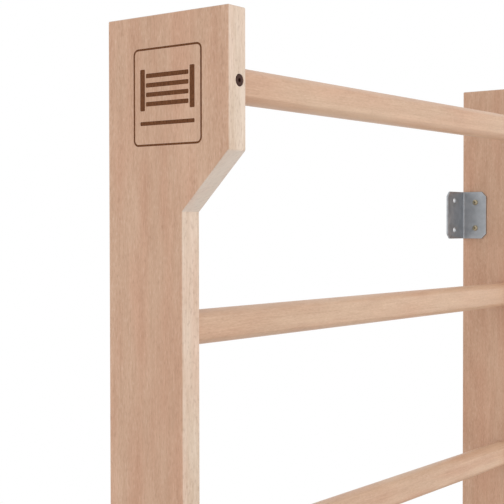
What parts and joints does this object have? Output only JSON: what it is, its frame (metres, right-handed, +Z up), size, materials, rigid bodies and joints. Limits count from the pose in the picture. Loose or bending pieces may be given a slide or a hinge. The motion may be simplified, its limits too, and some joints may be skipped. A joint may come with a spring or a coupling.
{
  "type": "wall bars",
  "caption": "Tall beech wall bars: two uprights with a forward-stepped head, joined by flatted round rungs and fixed to a wall by steel angle brackets.",
  "frame": {"origin": "middle of the footprint on the floor, under the centre of the whole object's box", "axes": "+Z up along the uprights, +X along the rungs to the right of a person who faces the bars, +Y towards the wall, so the climber stands on the -Y side"},
  "size_m": [0.9, 0.175, 2.3],
  "materials": {
    "upright_beech": "planed and sanded steamed beech under a satin clear lacquer, faces quarter to rift sawn",
    "rung_beech": "turned and flatted beech, sanded along the grain under a satin clear lacquer",
    "bronzed_steel": "bronze-brown oxide on steel, satin",
    "zinc_steel": "zinc plated, lightly passivated",
    "bracket_steel": "bent sheet steel, zinc plated"
  },
  "bodies": {
    "root": {"left_upright": "upright_beech", "right_upright": "upright_beech", "rung_1": "rung_beech", "rung_2": "rung_beech", "rung_3": "rung_beech", "rung_4": "rung_beech", "rung_5": "rung_beech", "rung_6": "rung_beech", "rung_7": "rung_beech", "rung_8": "rung_beech", "lock_bolts": "bronzed_steel", "barrel_nuts": "zinc_steel", "tenon_screws": "zinc_steel", "bracket_top_left": "bracket_steel", "bracket_top_right": "bracket_steel", "bracket_middle_left": "bracket_steel", "bracket_middle_right": "bracket_steel", "bracket_bottom_left": "bracket_steel", "bracket_bottom_right": "bracket_steel", "bracket_screws": "zinc_steel"}
  },
  "joints": []
}
